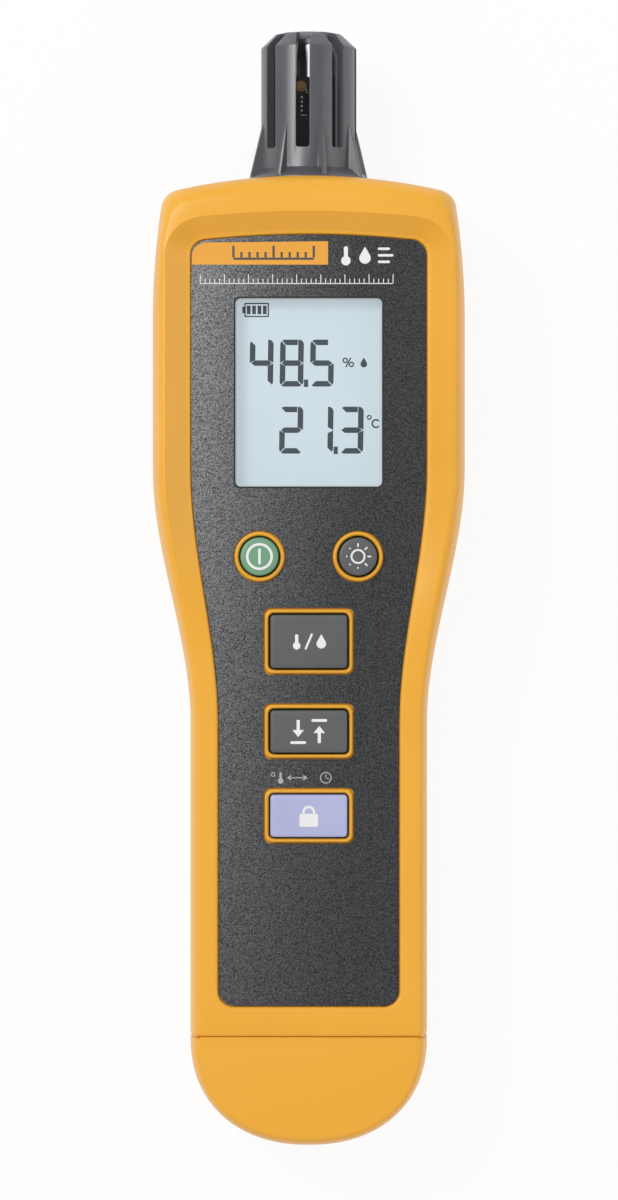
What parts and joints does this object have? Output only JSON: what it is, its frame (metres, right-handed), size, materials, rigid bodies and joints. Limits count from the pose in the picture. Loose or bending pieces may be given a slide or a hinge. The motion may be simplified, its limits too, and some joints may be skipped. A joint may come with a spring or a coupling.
{
  "type": "handheld thermo-hygrometer",
  "caption": "Handheld humidity and temperature meter with a slotted sensor cage, a hooded display and keypad, and a pull-off battery cap.",
  "frame": {"origin": "on the rest face, in the middle of the length and width", "axes": "+X to the right of the reader, +Y along the length towards the sensor cage, +Z out of the keypad face"},
  "size_m": [0.0628, 0.2236, 0.034],
  "materials": {
    "orange_case": "fine satin moulding",
    "overlay_film": "printed film with a fine metallic grain",
    "window_plastic": "clear moulded window",
    "display_glass": "polarised display glass",
    "white_plastic": "plain moulding",
    "strip_rubber": "zebra strip",
    "circuit_board": "solder mask on glass laminate",
    "black_board": "black solder mask on glass laminate",
    "black_plastic": "plain moulding",
    "plated_metal": "nickel plated",
    "gold_plate": "gold plated",
    "silicone": "translucent silicone",
    "black_rubber": "moulded rubber",
    "green_key": "satin moulding with a white printed sign",
    "grey_key": "satin moulding with a white printed sign",
    "lilac_key": "satin moulding with a dark printed sign",
    "cage_plastic": "fine grained moulding",
    "cell_sleeve": "shrunk plastic sleeve",
    "label_film": "bare film label"
  },
  "bodies": {
    "meter": {"front_case": "orange_case", "rear_case": "orange_case", "face_overlay": "overlay_film", "display_window": "window_plastic", "lcd_glass": "display_glass", "display_frame": "white_plastic", "light_guide": "white_plastic", "contact_strip": "strip_rubber", "main_board": "circuit_board", "processor": "black_plastic", "crystal": "plated_metal", "capacitors": "black_plastic", "keypad_mat": "silicone", "power_dome": "silicone", "backlight_dome": "silicone", "mode_dome": "silicone", "extremes_dome": "silicone", "hold_dome": "silicone", "key_contacts": "gold_plate", "sensor_cage": "cage_plastic", "cage_gasket": "black_rubber", "sensor_board": "black_board", "humidity_sensor": "white_plastic", "thermistor": "gold_plate", "sensor_header": "black_plastic", "left_cell": "cell_sleeve", "middle_cell": "cell_sleeve", "right_cell": "cell_sleeve", "battery_cover": "black_plastic", "upper_contacts": "plated_metal", "case_screws": "plated_metal", "board_screws": "plated_metal", "rear_label": "label_film"},
    "cap": {"end_cap": "orange_case", "cap_contact_plate": "black_board", "cap_contacts": "plated_metal"},
    "power_button": {"power_key": "green_key"},
    "backlight_button": {"backlight_key": "grey_key"},
    "mode_button": {"mode_key": "grey_key"},
    "extremes_button": {"extremes_key": "grey_key"},
    "hold_button": {"hold_key": "lilac_key"}
  },
  "joints": [
    {"name": "cap_slide", "type": "slide", "parent": "meter", "child": "cap", "axis": [0, -1, 0], "range_m": [0, 0.04]},
    {"name": "power_press", "type": "slide", "parent": "meter", "child": "power_button", "axis": [0, 0, -1], "range_m": [0, 0.001], "stiffness_N_per_m": 1500, "deforming": ["power_dome"]},
    {"name": "backlight_press", "type": "slide", "parent": "meter", "child": "backlight_button", "axis": [0, 0, -1], "range_m": [0, 0.001], "stiffness_N_per_m": 1500, "deforming": ["backlight_dome"]},
    {"name": "mode_press", "type": "slide", "parent": "meter", "child": "mode_button", "axis": [0, 0, -1], "range_m": [0, 0.001], "stiffness_N_per_m": 1500, "deforming": ["mode_dome"]},
    {"name": "extremes_press", "type": "slide", "parent": "meter", "child": "extremes_button", "axis": [0, 0, -1], "range_m": [0, 0.001], "stiffness_N_per_m": 1500, "deforming": ["extremes_dome"]},
    {"name": "hold_press", "type": "slide", "parent": "meter", "child": "hold_button", "axis": [0, 0, -1], "range_m": [0, 0.001], "stiffness_N_per_m": 1500, "deforming": ["hold_dome"]}
  ]
}
